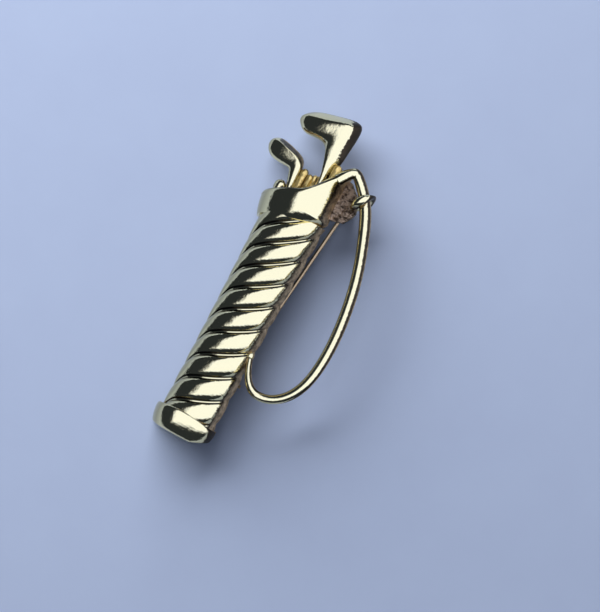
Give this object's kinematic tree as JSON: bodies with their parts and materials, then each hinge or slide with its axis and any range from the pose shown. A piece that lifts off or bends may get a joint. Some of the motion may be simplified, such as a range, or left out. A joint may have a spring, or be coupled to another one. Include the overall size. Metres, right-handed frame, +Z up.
{
  "type": "golf bag brooch",
  "caption": "Gold-tone lapel pin shaped as a golf bag with two clubs and a shoulder strap; hinged stem and turning safety catch on the back.",
  "frame": {"origin": "centre of the outer box, on the surface that the brooch lies on face up", "axes": "+Y along the bag from its base to the clubs, +Z up out of the bag's front, +X to the strap's side; the bag lies tilted 15 degrees about Y, as it rests on its left rim, joint and catch"},
  "size_m": [0.027, 0.0622, 0.0084],
  "materials": {
    "plated_casting": "polished gold plate",
    "plated_recess": "bright gold plate over a rough casting",
    "plated_findings": "tumbled gold plate",
    "plated_stem": "drawn wire, gold plate"
  },
  "bodies": {
    "brooch": {"bag_barrel": "plated_casting", "bag_collar": "plated_casting", "base_cap": "plated_casting", "catch_bridge": "plated_casting", "catch_housing": "plated_findings", "driver_club": "plated_casting", "joint_bracket": "plated_findings", "joint_rivet": "plated_findings", "joint_web": "plated_recess", "mouth_liner": "plated_recess", "putter_club": "plated_casting", "shoulder_strap": "plated_casting", "spare_shaft_1": "plated_casting", "spare_shaft_2": "plated_casting", "spare_shaft_3": "plated_casting", "spare_shaft_4": "plated_casting", "spare_shaft_5": "plated_casting", "strap_boss": "plated_casting", "strap_hook": "plated_casting", "strap_ring": "plated_casting"},
    "pin": {"pin_stem": "plated_stem"},
    "catch": {"catch_rotor": "plated_findings"}
  },
  "joints": [
    {"name": "pin_hinge", "type": "hinge", "parent": "brooch", "child": "pin", "pos_m": [0.00387, 0.01722, 0.00153], "axis": [0.9601, -0.1101, 0.2572], "range_deg": [0, 110]},
    {"name": "catch_lock", "type": "hinge", "parent": "brooch", "child": "catch", "pos_m": [0.00002, -0.01709, 0.00121], "axis": [0.1115, 0.9937, 0.0092], "range_deg": [0, 115]}
  ]
}
